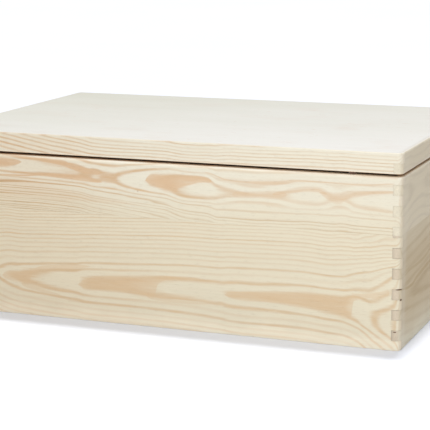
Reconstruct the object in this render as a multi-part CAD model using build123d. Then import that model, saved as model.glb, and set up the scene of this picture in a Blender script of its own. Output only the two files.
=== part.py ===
from build123d import *

import os
from math import asin, cos, radians, sin

# A raw pine toy box with a hinged lid, in millimetres. The origin is on the floor under the middle of
# the box. +X runs to the right along the front, +Y to the back and +Z up.

# The box as a whole
LENGTH = 600.0  # outside, along the front
DEPTH = 400.0  # outside, front to back
HEIGHT = 230.0  # floor to the top of the closed lid
WALL = 10.0  # thickness of the pine boards
LOWER_BOARD = 135.5  # height of the glue line between the two boards of a wall
CORNER_RADIUS = 7.0  # rounding of the upright corners
TOP_ROUND = 2.0  # rounding of the lid's upper outer edges
RIM_ROUND = 1.2  # rounding of the outer edges at the parting line
FOOT_ROUND = 1.0  # rounding of the outer edges on the floor

# Finger joints, counted over the whole height, because the lid is sawn off the finished box
FINGERS = 19  # the lowest and the highest belong to the front and back boards
LID_FINGERS = 2  # how many of them go with the lid
GLUE_GAP = 0.1  # between a finger and its socket

# Plywood panels, let flush into rabbets in the walls and in the lid rails
PANEL = 5.0  # thickness
PANEL_LAP = 5.5  # depth of the rabbet into the wall
PANEL_CLEARANCE = 0.2  # around the edge of a panel

# Brads that pin the bottom panel to the walls
BRAD_SPACING = 110.0  # between neighbours, at most
BRAD_CORNER = 45.0  # from the outside corner of the box to the nearest brad
BRAD_LENGTH = 20.0
BRAD_RADIUS = 0.7
BRAD_HEAD_RADIUS = 1.2
BRAD_HEAD = 0.6  # thickness of the head

# Butt hinges, lying between the rims with their knuckles behind the box
HINGE_INSET = 110.0  # from the end of the box to the middle of a hinge
HINGE_LENGTH = 40.0
LEAF_THICKNESS = 1.2
LEAF_GAP = 0.6  # between the closed leaves
LEAF_SETBACK = 1.5  # from the inner face of the wall to the edge of a leaf
LEAF_CORNER = 1.5  # rounding of the corners of a leaf
KNUCKLES = 5
KNUCKLE_RADIUS = 2.2
KNUCKLE_GAP = 0.3  # between neighbouring knuckles, and from a knuckle to the other leaf
KNUCKLE_STANDOFF = 0.4  # from the knuckles to the back of the box
PIN_RADIUS = 1.2
PIN_CLEARANCE = 0.05
PIN_HEAD_RIM = 0.7  # by how much each riveted end is wider than the pin
PIN_HEAD = 0.8  # thickness of each riveted end
LID_OPEN_ANGLE = 100.0  # where the stays stop the lid

# Countersunk screws of the hinges
SCREW_INSET = 8.0  # from the end of a leaf to its nearer screw
SCREW_LENGTH = 12.0
SCREW_RADIUS = 1.3
SCREW_HEAD_RADIUS = 2.3
SCREW_HEAD = 1.0  # depth of the countersink
SCREW_TIP = 2.0
SCREW_CLEARANCE = 0.05  # between any screw or brad and its hole
RECESS_LENGTH = 2.4  # arms of the cross recess
RECESS_WIDTH = 0.5
RECESS_DEPTH = 0.6

# Lid stays: the arm turns on a screw in the lid and slides along a screw in the box
STAY_WIDTH = 14.0
STAY_THICKNESS = 1.5
STAY_TOP_CLEARANCE = 3.0  # from the lid's panel to the arm
STAY_FLOOR_CLEARANCE = 20.0  # from the bottom panel to the arm of the closed box
STAY_CLOSED_ANGLE = 30.0  # between the two screws, seen from the hinge axis
SLOT_PLAY = 0.5  # past the guide screw at each end of the slot
SIDE_PLAY = 0.15  # on each face of the arm
SHOULDER_RADIUS = 2.5
SHOULDER_CLEARANCE = 0.05
STAY_HEAD_RADIUS = 4.5
STAY_HEAD = 2.2  # thickness of the head
STAY_HEAD_CHAMFER = 0.6
STAY_SHANK_RADIUS = 1.75
STAY_SHANK_COVER = 2.5  # wood left beyond the point of the screw
WASHER_RADIUS = 6.0
WASHER = 1.0  # thickness

# Pads on the front rim
PAD_INSET = 60.0  # from the end of the box
PAD_RADIUS = 4.0
PAD_SQUASH = 0.1  # by how much a pad is lower than the parting line

# Heights and places that follow
finger_height = HEIGHT / FINGERS
parting_gap = 2 * LEAF_THICKNESS + LEAF_GAP
lid_bottom = HEIGHT - LID_FINGERS * finger_height
rim = lid_bottom - parting_gap
pin_y = DEPTH / 2 + KNUCKLE_STANDOFF + KNUCKLE_RADIUS
pin_z = rim + parting_gap / 2
hinge_places = (-LENGTH / 2 + HINGE_INSET, LENGTH / 2 - HINGE_INSET)
inner_length = LENGTH - 2 * WALL
inner_depth = DEPTH - 2 * WALL

# Each stay makes an equal-sided triangle with the hinge axis, so its arm turns by half the lid's angle
# and the guide screw stays on the middle line of a straight slot.
pivot_z = HEIGHT - PANEL - STAY_TOP_CLEARANCE - STAY_WIDTH / 2
open_span = pivot_z - PANEL - STAY_FLOOR_CLEARANCE - SLOT_PLAY - STAY_WIDTH / 2
stay_radius = open_span / (2 * sin(radians(STAY_CLOSED_ANGLE + LID_OPEN_ANGLE) / 2))
closed_span = 2 * stay_radius * sin(radians(STAY_CLOSED_ANGLE) / 2)
pivot_angle = asin((pivot_z - pin_z) / stay_radius)
guide_angle = radians(STAY_CLOSED_ANGLE) - pivot_angle
pivot_y = pin_y - stay_radius * cos(pivot_angle)
guide_y = pin_y - stay_radius * cos(guide_angle)
guide_z = pin_z - stay_radius * sin(guide_angle)
arm_inset = WASHER + SIDE_PLAY  # from the wall to the near face of the arm
shoulder = arm_inset + STAY_THICKNESS + SIDE_PLAY
arm_x = inner_length / 2 - arm_inset - STAY_THICKNESS / 2  # middle of the right arm

nodes = {}


def block(corner, opposite):
    """A box between two opposite corners."""
    size = [abs(b - a) for a, b in zip(corner, opposite)]
    middle = [(a + b) / 2 for a, b in zip(corner, opposite)]
    return Pos(*middle) * Box(*size)


def turned(*outline):
    """A solid turned about Z from its half outline, given as (radius, height) points."""
    points = [(radius, 0, height) for radius, height in outline]
    return revolve(make_face(Polyline(*points, close=True)), Axis.Z)


def group(solids):
    """Separate solids that share one node."""
    return Compound(children=[solid.solid() for solid in solids])


def outer_form(low, high, low_round=0.0, high_round=0.0):
    """The outside of the box between two heights, with rounded corners and edges."""
    form = Pos(0, 0, low) * extrude(RectangleRounded(LENGTH, DEPTH, CORNER_RADIUS), high - low)
    if low_round:
        form = fillet(form.edges().group_by(Axis.Z)[0], low_round)
    if high_round:
        form = fillet(form.edges().group_by(Axis.Z)[-1], high_round)
    return form


def finger_spans(low, high):
    """Heights between low and high at which the side boards fill the corners."""
    spans = []
    for index in range(1, FINGERS, 2):
        bottom = max(low, index * finger_height)
        top = min(high, (index + 1) * finger_height)
        if top - bottom > GLUE_GAP:
            spans.append((bottom, top))
    return spans


def long_board(face, low, high):
    """A front (-1) or back (+1) board, with sockets for the fingers of the side boards."""
    outer = face * DEPTH / 2
    inner = face * inner_depth / 2
    socket = inner_length / 2 - GLUE_GAP
    board = block((-LENGTH / 2, outer, low), (LENGTH / 2, inner, high))
    for end in (-1, 1):
        for bottom, top in finger_spans(low, high):
            corner = (end * socket, outer, bottom - GLUE_GAP)
            board -= block(corner, (end * LENGTH / 2, inner, top + GLUE_GAP))
    return board


def side_board(end, low, high):
    """A left (-1) or right (+1) board with its fingers."""
    outer = end * LENGTH / 2
    inner = end * inner_length / 2
    shoulder_y = inner_depth / 2 - GLUE_GAP
    board = block((outer, -shoulder_y, low), (inner, shoulder_y, high))
    for bottom, top in finger_spans(low, high):
        board += block((outer, -DEPTH / 2, bottom), (inner, DEPTH / 2, top))
    return board


def panel_block(low, high, clearance=0.0):
    """A plywood panel, or the rabbet that it lies in."""
    half_length = inner_length / 2 + PANEL_LAP - clearance
    half_depth = inner_depth / 2 + PANEL_LAP - clearance
    return block((-half_length, -half_depth, low), (half_length, half_depth, high))


def make_walls():
    """The boards of the box and the rails of the lid, and the two panels."""
    lower_form = outer_form(0, LOWER_BOARD, low_round=FOOT_ROUND) - panel_block(0, PANEL)
    upper_form = outer_form(LOWER_BOARD, rim, high_round=RIM_ROUND)
    lid_form = outer_form(lid_bottom, HEIGHT, RIM_ROUND, TOP_ROUND) - panel_block(HEIGHT - PANEL, HEIGHT)
    walls = {
        "front": (long_board, -1),
        "back": (long_board, 1),
        "left": (side_board, -1),
        "right": (side_board, 1),
    }
    for wall, (board, side) in walls.items():
        nodes[f"{wall}_lower_board"] = board(side, 0, LOWER_BOARD) & lower_form
        nodes[f"{wall}_upper_board"] = board(side, LOWER_BOARD, rim) & upper_form
        nodes[f"lid_{wall}_rail"] = board(side, lid_bottom, HEIGHT) & lid_form
    nodes["bottom_panel"] = panel_block(0, PANEL, PANEL_CLEARANCE)
    nodes["lid_top_panel"] = panel_block(HEIGHT - PANEL, HEIGHT, PANEL_CLEARANCE)


def brad(grow=0.0):
    """A brad driven upwards, its head flush with z = 0, or its hole when grown."""
    return turned(
        (0, 0),
        (BRAD_HEAD_RADIUS + grow, 0),
        (BRAD_HEAD_RADIUS + grow, BRAD_HEAD),
        (BRAD_RADIUS + grow, BRAD_HEAD),
        (BRAD_RADIUS + grow, BRAD_LENGTH),
        (0, BRAD_LENGTH),
    )


def brad_row(length):
    """Places along one side of the box, evenly spaced between its two corner brads."""
    reach = length - 2 * BRAD_CORNER
    steps = int(reach // BRAD_SPACING) + 1
    return [-reach / 2 + reach * step / steps for step in range(steps + 1)]


def make_brads():
    """Brads around the bottom panel, with their holes in the panel and in the walls."""
    line_x = inner_length / 2 + PANEL_LAP / 2
    line_y = inner_depth / 2 + PANEL_LAP / 2
    rows = {
        "front": [(x, -line_y) for x in brad_row(LENGTH)],
        "back": [(x, line_y) for x in brad_row(LENGTH)],
        "left": [(-line_x, y) for y in brad_row(DEPTH)],
        "right": [(line_x, y) for y in brad_row(DEPTH)],
    }
    brads = []
    for wall, places in rows.items():
        holes = [Pos(x, y, 0) * brad(SCREW_CLEARANCE) for x, y in places]
        nodes[f"{wall}_lower_board"] -= holes
        nodes["bottom_panel"] -= holes
        brads += [Pos(x, y, 0) * brad() for x, y in places]
    nodes["bottom_brads"] = group(brads)


def countersunk_screw(grow=0.0):
    """A screw pointing down with its head flush with z = 0, or its hole when grown."""
    return turned(
        (0, 0),
        (SCREW_HEAD_RADIUS + grow, 0),
        (SCREW_RADIUS + grow, -SCREW_HEAD),
        (SCREW_RADIUS + grow, SCREW_TIP - SCREW_LENGTH),
        (0, -SCREW_LENGTH - grow),
    )


def cross_recess():
    """The driver's recess in a screw head whose top is at z = 0."""
    arm = Box(RECESS_LENGTH, RECESS_WIDTH, 2 * RECESS_DEPTH)
    return arm + Rot(0, 0, 90) * arm


def hinge_leaf(side):
    """A leaf at x = 0: the box leaf (-1) under the hinge axis or the lid leaf (+1) above it."""
    wood_z = pin_z + side * parting_gap / 2
    free_z = pin_z + side * LEAF_GAP / 2
    front = inner_depth / 2 + LEAF_SETBACK
    back = pin_y - KNUCKLE_RADIUS - KNUCKLE_GAP
    leaf = block((-HINGE_LENGTH / 2, front, wood_z), (HINGE_LENGTH / 2, back, free_z))
    leaf = fillet(leaf.edges().filter_by(Axis.Z).group_by(Axis.Y)[0], LEAF_CORNER)
    pitch = (HINGE_LENGTH + KNUCKLE_GAP) / KNUCKLES
    first = 0 if side < 0 else 1
    for index in range(first, KNUCKLES, 2):
        start = -HINGE_LENGTH / 2 + index * pitch
        end = start + pitch - KNUCKLE_GAP
        leaf += block((start, back, wood_z), (end, pin_y, free_z))
        barrel = Cylinder(KNUCKLE_RADIUS, end - start, rotation=(0, 90, 0))
        leaf += Pos((start + end) / 2, pin_y, pin_z) * barrel
    bore = Cylinder(PIN_RADIUS + PIN_CLEARANCE, HINGE_LENGTH, rotation=(0, 90, 0))
    return leaf - Pos(0, pin_y, pin_z) * bore


def hinge_pin():
    """The pin along X at x = 0, riveted over at both ends."""
    half = HINGE_LENGTH / 2
    tip = half + PIN_HEAD
    head_radius = PIN_RADIUS + PIN_HEAD_RIM
    outline = [(0, -tip), (PIN_RADIUS, -tip), (head_radius, -half), (PIN_RADIUS, -half)]
    outline += [(PIN_RADIUS, half), (head_radius, half), (PIN_RADIUS, tip), (0, tip)]
    return Pos(0, pin_y, pin_z) * Rot(0, 90, 0) * turned(*outline)


def make_hinges():
    """Two hinges, with their screws and the screws' holes in the leaves and the rims."""
    screw_x = HINGE_LENGTH / 2 - SCREW_INSET
    screw_y = (DEPTH - WALL) / 2
    sides = {"box": (-1, "back_upper_board", Rot(0, 0, 0)), "lid": (1, "lid_back_rail", Rot(180, 0, 0))}
    for body, (side, board, turn) in sides.items():
        head_z = pin_z + side * LEAF_GAP / 2
        screws = []
        for name, x in zip(("left", "right"), hinge_places):
            places = [Pos(x + step, screw_y, head_z) * turn for step in (-screw_x, screw_x)]
            holes = [place * countersunk_screw(SCREW_CLEARANCE) for place in places]
            nodes[f"{name}_hinge_{body}_leaf"] = Pos(x, 0, 0) * hinge_leaf(side) - holes
            nodes[board] -= holes
            screws += [place * (countersunk_screw() - cross_recess()) for place in places]
        nodes[f"hinge_{body}_screws"] = group(screws)
    for name, x in zip(("left", "right"), hinge_places):
        nodes[f"{name}_hinge_pin"] = Pos(x, 0, 0) * hinge_pin()


def shoulder_screw(grow=0.0):
    """A stay's screw: z = 0 is the face of the wall, +Z goes into the wood. Grown, it is the hole."""
    face = -shoulder - STAY_HEAD
    point = WALL - STAY_SHANK_COVER
    return turned(
        (0, face),
        (STAY_HEAD_RADIUS - STAY_HEAD_CHAMFER, face),
        (STAY_HEAD_RADIUS, face + STAY_HEAD_CHAMFER),
        (STAY_HEAD_RADIUS, -shoulder),
        (SHOULDER_RADIUS, -shoulder),
        (SHOULDER_RADIUS, 0),
        (STAY_SHANK_RADIUS + grow, 0),
        (STAY_SHANK_RADIUS + grow, point - SCREW_TIP),
        (0, point + grow),
    )


def washer():
    """The washer between the wall and the arm, on the same axis as its screw."""
    hole = SHOULDER_RADIUS + SHOULDER_CLEARANCE
    return turned((hole, -WASHER), (WASHER_RADIUS, -WASHER), (WASHER_RADIUS, 0), (hole, 0))


def stay_arm(side):
    """The slotted arm at the left (-1) or right (+1) side, as it hangs in the closed box."""
    along = Vector(0, guide_y - pivot_y, guide_z - pivot_z)
    face = Plane(origin=(side * arm_x, pivot_y, pivot_z), x_dir=along, z_dir=(1, 0, 0))
    slot_start = closed_span - SLOT_PLAY
    slot_end = open_span + SLOT_PLAY
    slot_width = 2 * (SHOULDER_RADIUS + SHOULDER_CLEARANCE)
    outline = Pos(slot_end / 2, 0) * SlotCenterToCenter(slot_end, STAY_WIDTH)
    outline -= Circle(SHOULDER_RADIUS + SHOULDER_CLEARANCE)
    slot = SlotCenterToCenter(slot_end - slot_start, slot_width)
    outline -= Pos((slot_start + slot_end) / 2, 0) * slot
    return extrude(face * outline, STAY_THICKNESS / 2, both=True)


def make_stays():
    """A stay at each side, with the screws and washers that carry it."""
    recess = Pos(0, 0, -shoulder - STAY_HEAD) * cross_recess()
    joints = {"pivot": (pivot_y, pivot_z), "guide": (guide_y, guide_z)}
    carriers = {"pivot": ["lid_{}_rail"], "guide": ["{}_upper_board", "{}_lower_board"]}
    for joint, (y, z) in joints.items():
        screws = []
        washers = []
        for wall, side in (("left", -1), ("right", 1)):
            place = Pos(side * inner_length / 2, y, z) * Rot(0, side * 90, 0)
            hole = place * shoulder_screw(SCREW_CLEARANCE)
            for board in carriers[joint]:
                nodes[board.format(wall)] -= hole
            screws.append(place * (shoulder_screw() - recess))
            washers.append(place * washer())
        nodes[f"stay_{joint}_screws"] = group(screws)
        nodes[f"stay_{joint}_washers"] = group(washers)
    nodes["left_stay_arm"] = stay_arm(-1)
    nodes["right_stay_arm"] = stay_arm(1)


def make_pads():
    """The two pads on the front rim that the closed lid rests on."""
    height = parting_gap - PAD_SQUASH
    pad_x = LENGTH / 2 - PAD_INSET
    pad = Pos(0, (WALL - DEPTH) / 2, rim + height / 2) * Cylinder(PAD_RADIUS, height)
    nodes["lid_rest_pads"] = group([Pos(x, 0, 0) * pad for x in (-pad_x, pad_x)])


make_walls()
make_brads()
make_hinges()
make_stays()
make_pads()

os.makedirs("parts", exist_ok=True)
for name, shape in nodes.items():
    export_step(shape, f"parts/{name}.step")

print(f"hinge axis: y {pin_y:.3f}, z {pin_z:.3f}")
print(f"stay pivots: x {arm_x:.3f}, y {pivot_y:.3f}, z {pivot_z:.3f}")
print(f"stay guides: y {guide_y:.3f}, z {guide_z:.3f}, slot {closed_span:.2f} to {open_span:.2f}")
print(f"rim {rim:.3f}, lid from {lid_bottom:.3f}")
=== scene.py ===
"""The looks of a raw pine toy box with a hinged lid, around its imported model."""

from dataclasses import dataclass
from math import cos, pi, radians, sin

import bpy
from mathutils import Matrix, Vector


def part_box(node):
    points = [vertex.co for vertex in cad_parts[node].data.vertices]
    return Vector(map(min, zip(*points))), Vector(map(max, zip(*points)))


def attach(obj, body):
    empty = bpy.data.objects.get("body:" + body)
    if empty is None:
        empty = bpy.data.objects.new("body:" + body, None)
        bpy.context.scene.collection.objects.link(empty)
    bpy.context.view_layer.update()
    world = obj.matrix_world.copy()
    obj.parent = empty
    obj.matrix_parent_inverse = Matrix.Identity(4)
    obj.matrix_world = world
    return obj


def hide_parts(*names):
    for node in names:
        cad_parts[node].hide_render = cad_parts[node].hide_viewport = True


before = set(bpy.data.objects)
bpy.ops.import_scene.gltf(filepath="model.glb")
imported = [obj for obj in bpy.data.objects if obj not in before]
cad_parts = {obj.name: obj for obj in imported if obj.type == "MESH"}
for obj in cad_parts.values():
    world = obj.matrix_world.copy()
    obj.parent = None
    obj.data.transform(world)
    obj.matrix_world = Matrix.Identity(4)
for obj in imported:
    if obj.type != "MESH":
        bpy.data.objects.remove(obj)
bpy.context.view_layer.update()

# Sizes of the box, read from its model. Patterns on the wood are drawn in millimetres.
MM = 1000.0
front_low, front_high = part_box("front_lower_board")
rail_low, rail_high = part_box("lid_front_rail")
HALF_LENGTH = front_high.x * MM
HALF_DEPTH = -front_low.y * MM
WALL = (front_high.y - front_low.y) * MM
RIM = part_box("front_upper_board")[1].z * MM
LID_BOTTOM = rail_low.z * MM
TOP = rail_high.z * MM
FINGERS = 19  # over the whole height, the lowest one on the front board
FINGER = TOP / FINGERS

# Camera, as the photograph was taken
CAMERA_PLACE = (0.7446, -1.8972, 0.5120)
CAMERA_YAW = -21.57
CAMERA_PITCH = 11.38
CAMERA_ROLL = -0.37
CAMERA_LENS = 132.03
CAMERA_SENSOR = 36.0

# Light: an even white room, a small lamp high above the back and a softbox before the front, to the right
ROOM_LIGHT = 0.58
OVERHEAD_LIGHT = 1.78
OVERHEAD_FROM = (-0.040, 0.155, 0.987)
OVERHEAD_ANGLE = 6.5
SOFTBOX_POWER = 6.6
SOFTBOX_PLACE = (0.45, -1.35, 0.60)
SOFTBOX_AIM = (0.0, -0.10, 0.12)
SOFTBOX_SIZE = (0.6, 0.7)

# From the levels of a colour picker to linear light
SRGB_KNEE = 0.04045
SRGB_SLOPE = 12.92
SRGB_OFFSET = 0.055
SRGB_POWER = 2.4
FULL_LEVEL = 255


def paint(red, green, blue):
    """A colour as a colour picker shows it, 0 to 255, for a shader socket."""
    linear = []
    for level in (red, green, blue):
        share = level / FULL_LEVEL
        if share <= SRGB_KNEE:
            linear.append(share / SRGB_SLOPE)
        else:
            linear.append(((share + SRGB_OFFSET) / (1 + SRGB_OFFSET)) ** SRGB_POWER)
    return (*linear, 1.0)


# Colours of the finishes. The wood of a board has three: pale wood, tan patches and lines.
PALE_SAP = (paint(217, 210, 190), paint(204, 174, 139), paint(185, 155, 117))
WARM_SAP = (paint(213, 204, 180), paint(205, 179, 144), paint(186, 160, 124))
DULL_SAP = (paint(203, 190, 164), paint(194, 180, 153), paint(183, 170, 148))
# Painted bounce light from the floor, paler wood at the foot of the front
FRONT_FOOT_BOUNCE = (paint(236, 227, 205), paint(228, 202, 167), paint(210, 183, 147))
# Pale sapwood at the foot of the right side, made paler still by painted bounce light from the floor
SAP_AND_BOUNCE_FOOT = (paint(216, 209, 187), paint(202, 187, 161), paint(190, 175, 149))
HEART = (paint(186, 168, 136), paint(166, 142, 102), paint(148, 124, 92))
END_GRAIN = paint(192, 168, 138)
HEART_END = paint(196, 176, 150)
GLUE_LINE = paint(96, 66, 44)
# Painted shade of the parting gap, brown, on the cut faces
GAP_SHADE_BROWN = paint(178, 122, 68)
# Painted warm shade on the edges beside the parting gap
GAP_EDGE_SHADE = paint(206, 148, 92)
# Pale of rubbed edges, also the colour of a painted highlight near the right side's front corner
WEAR_AND_HIGHLIGHT_PALE = paint(222, 218, 203)
WARM_TINT = (0.95, 0.89, 0.83, 1.0)  # shares of red, green and blue that a warmer, darker tint keeps
KNOT = paint(140, 92, 56)
PLY_PALE = paint(225, 223, 219)
# A warm plywood tone, and also the colour of the painted shade on the plywood
PLY_WARM_AND_SHADE = paint(208, 207, 195)
PLY_PINK = paint(209, 194, 180)
PLY_CORE = paint(196, 160, 116)
NYLON_PALE = paint(236, 233, 224)
NYLON_DULL = paint(226, 222, 210)
FELT_DARK = paint(74, 52, 38)
FELT_BROWN = paint(100, 74, 54)
FELT_LIGHT = paint(150, 122, 96)
FLOOR_WHITE = paint(243, 246, 255)
FLOOR_SHADE = paint(241, 245, 254)

# Sockets of a Mix node for colours
MIX_SHARE = 0
MIX_FIRST = 6
MIX_SECOND = 7
MIX_RESULT = 2


class Field:
    """A number that varies over a surface. Arithmetic on it adds Math nodes to its tree."""

    def __init__(self, tree, socket):
        self.tree = tree
        self.socket = socket

    def math(self, operation, *others):
        node = self.tree.nodes.new("ShaderNodeMath")
        node.operation = operation
        for pin, value in zip(node.inputs, (self, *others)):
            plug(value, pin)
        return Field(self.tree, node.outputs[0])

    def __add__(self, other):
        return self.math("ADD", other)

    def __sub__(self, other):
        return self.math("SUBTRACT", other)

    def __mul__(self, other):
        return self.math("MULTIPLY", other)

    def __truediv__(self, other):
        return self.math("DIVIDE", other)

    def __rsub__(self, other):
        return self * -1.0 + other

    __radd__ = __add__
    __rmul__ = __mul__

    def size(self):
        return self.math("ABSOLUTE")

    def root(self):
        return self.math("SQRT")

    def least(self, other):
        return self.math("MINIMUM", other)

    def most(self, other):
        return self.math("MAXIMUM", other)

    def rise(self, start, end, kind="SMOOTHSTEP"):
        """Rises from 0 at start to 1 at end, each a number or a field."""
        node = self.tree.nodes.new("ShaderNodeMapRange")
        node.interpolation_type = kind
        plug(self, node.inputs["Value"])
        plug(start, node.inputs["From Min"])
        plug(end, node.inputs["From Max"])
        return Field(self.tree, node.outputs["Result"])

    def fall(self, start, end, kind="SMOOTHSTEP"):
        """Falls from 1 at start to 0 at end."""
        return 1.0 - self.rise(start, end, kind)


def plug(value, pin):
    """Links a field or a socket to an input, or sets the input to a constant."""
    if isinstance(value, Field):
        value.tree.links.new(value.socket, pin)
    elif isinstance(value, bpy.types.NodeSocket):
        value.id_data.links.new(value, pin)
    else:
        pin.default_value = value


def vector(x, y, z):
    """Three fields as one vector socket."""
    node = x.tree.nodes.new("ShaderNodeCombineXYZ")
    for pin, value in zip(node.inputs, (x, y, z)):
        plug(value, pin)
    return node.outputs[0]


def parts_of(tree, socket):
    """The three parts of a vector socket as fields."""
    node = tree.nodes.new("ShaderNodeSeparateXYZ")
    tree.links.new(socket, node.inputs[0])
    return [Field(tree, pin) for pin in node.outputs]


def noise(tree, place, detail=2.0):
    """Smooth noise from -1 to 1, one wave to each unit of the place."""
    node = tree.nodes.new("ShaderNodeTexNoise")
    tree.links.new(place, node.inputs["Vector"])
    node.inputs["Scale"].default_value = 1.0
    node.inputs["Detail"].default_value = detail
    return Field(tree, node.outputs[0]) * 2.0 - 1.0


def speckle(place, sizes, detail=2.0, shift=0.0):
    """Noise in spots of three sizes along X, Y and Z, in millimetres."""
    x, y, z = (part / size for part, size in zip(place, sizes))
    return noise(x.tree, vector(x + shift, y, z), detail)


def chance(number):
    """A random value from 0 to 1 for each value of a field."""
    node = number.tree.nodes.new("ShaderNodeTexWhiteNoise")
    node.noise_dimensions = "1D"
    plug(number, node.inputs["W"])
    return Field(number.tree, node.outputs["Value"])


def toward(first, second, share):
    """Goes from the first value to the second as the share goes from 0 to 1."""
    return first + (second - first) * share


def weighted(fields, base, **weights):
    """A base plus the named fields, each times its weight."""
    total = base
    for label, weight in weights.items():
        total = fields[label] * weight + total
    return total


def blend(share, first, second, way="MIX"):
    """Mixes two colours by a field."""
    node = share.tree.nodes.new("ShaderNodeMix")
    node.data_type = "RGBA"
    node.blend_type = way
    node.clamp_factor = True
    plug(share, node.inputs[MIX_SHARE])
    plug(first, node.inputs[MIX_FIRST])
    plug(second, node.inputs[MIX_SECOND])
    return node.outputs[MIX_RESULT]


def brighten(colour, gain):
    """A colour socket times a field near 1."""
    node = gain.tree.nodes.new("ShaderNodeVectorMath")
    node.operation = "SCALE"
    plug(colour, node.inputs[0])
    plug(gain, node.inputs["Scale"])
    return node.outputs[0]


def drawn(along, points):
    """A value over the length of a board, drawn through (place, value) points or the same all along."""
    if not isinstance(points, list):
        return along * 0.0 + points
    tree = along.tree
    values = [value for place, value in points]
    first, last = points[0][0], points[-1][0]
    low, high = min(values), max(values)
    node = tree.nodes.new("ShaderNodeFloatCurve")
    curve = node.mapping.curves[0]
    spots = [((place - first) / (last - first), (value - low) / (high - low)) for place, value in points]
    curve.points[0].location = spots[0]
    curve.points[1].location = spots[-1]
    for spot in spots[1:-1]:
        curve.points.new(*spot)
    for point in curve.points:
        point.handle_type = "AUTO_CLAMPED"
    node.mapping.update()
    plug((along - first) / (last - first), node.inputs["Value"])
    return Field(tree, node.outputs[0]) * (high - low) + low


def new_group(name, inputs, outputs):
    """An empty shader group of number sockets, with the fields that it is given."""
    tree = bpy.data.node_groups.new(name, "ShaderNodeTree")
    for label in inputs:
        tree.interface.new_socket(label, in_out="INPUT", socket_type="NodeSocketFloat")
    for label in outputs:
        tree.interface.new_socket(label, in_out="OUTPUT", socket_type="NodeSocketFloat")
    given = tree.nodes.new("NodeGroupInput")
    result = tree.nodes.new("NodeGroupOutput")
    return tree, {label: Field(tree, given.outputs[label]) for label in inputs}, result.inputs


def use_group(tree, group, **inputs):
    """Places a group in a tree and returns its outputs as fields."""
    node = tree.nodes.new("ShaderNodeGroup")
    node.node_tree = group
    for label, value in inputs.items():
        plug(value, node.inputs[label])
    return {pin.name: Field(tree, pin) for pin in node.outputs}


# Growth rings of the pine. A pair says where something begins and where it is complete, and a pair with SHOWN
# in its name says so for noise. Spots have three sizes, along X, Y and Z in millimetres.
ISLAND_EDGE = 2.0  # rounding where an island of one ring meets the lines round it, mm
ISLAND_RISE = 0.28  # rings between the middle of an island and its edge
ISLAND_REACH = (8.0, 24.0)  # mm from its middle line over which an island stops bending the lines
PLAIN_ISLAND = 9.0  # the island that lines further off run round, mm
SIDE_NEAR = 4.0  # mm from the middle line where the values for the lines above and below begin
SIDE_FAR = 16.0  # mm from it where they are complete
RING_THROUGH = 3.4  # thickness of a ring through the board, mm
ISLAND_LATE = (0.32, 0.62)  # shares of a ring where it turns tan and where it is fully tan, at an island
LINE_LATE = (0.45, 0.90)  # the same for the lines further off
LATE_END = (0.31, 0.22)  # share over which the tan ends, at an island and further off
LATE_FIBRE = 0.4  # how much fibres and mottle change the tan
LATE_MOTTLE = 0.5
LINE_FADE = (0.8, 3.4)  # rings away from an island over which the lines grow thin and faint
FAINT_LINE = 0.45  # strength of a faint line, and what chance and place change in it
FAINT_CHANCE = 0.9
FAINT_PATCHY = 0.5
FAINTEST_LINE = 0.1
BOLD_LINE = 0.62  # strength of a bold line against its island's, and what chance and place change in it
BOLD_CHANCE = 0.7
BOLD_PATCHY = 0.3
BOLD_START = (0.6, 1.6)  # rings away from an island over which a bold line takes its own strength
LID_BOLD = 0.12  # by how much lines are stronger on the lid for each ring that is added there
TREND_REACH = (8.0, 18.0)  # mm from the middle line over which lines stop following single islands
DRIFT_REACH = (85.0, 130.0)  # heights over which drift comes in, mm
STRAY = 0.75  # rings by which lines stray from their even spacing
STRAY_RATE = 0.7  # waves of that stray for each ring
STRAY_SIDES = 30.0  # waves from the stray of the lines below to that of the lines above
STRAY_SWAP = 1.0  # mm below and above the middle line over which one gives way to the other

# Noise in the wood: its length along the fibres and its width across them, mm
WANDER = (70.0, 7.0)
WANDER_RINGS = 0.16
SHIVER = (24.0, 2.2)
SHIVER_RINGS = 0.09
PATCHES = (110.0, 14.0)
COARSE_FIBRE = (45.0, 1.6)
COARSE_SHARE = 0.6
FINE_FIBRE = (14.0, 0.45)
FINE_SHARE = 0.4
MOTTLE = (32.0, 4.5)
STREAK = (85.0, 3.2)
TONE = (160.0, 40.0)
CANAL = (9.0, 0.4)
CANAL_SHOWN = (0.42, 0.62)

RING_INPUTS = [
    "Along", "Across", "Depth", "Ridge", "Trend", "Lid", "Line", "Island", "Spacing", "Crowd", "Crowd Above",
    "Lid Crowd", "Drift", "Patch", "Lines", "Bold Above", "Bold Below", "Above", "Below", "Seed",
]
RING_OUTPUTS = ["Late", "Far", "Fibre", "Canals", "Tone", "Mottle", "Streak"]


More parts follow.
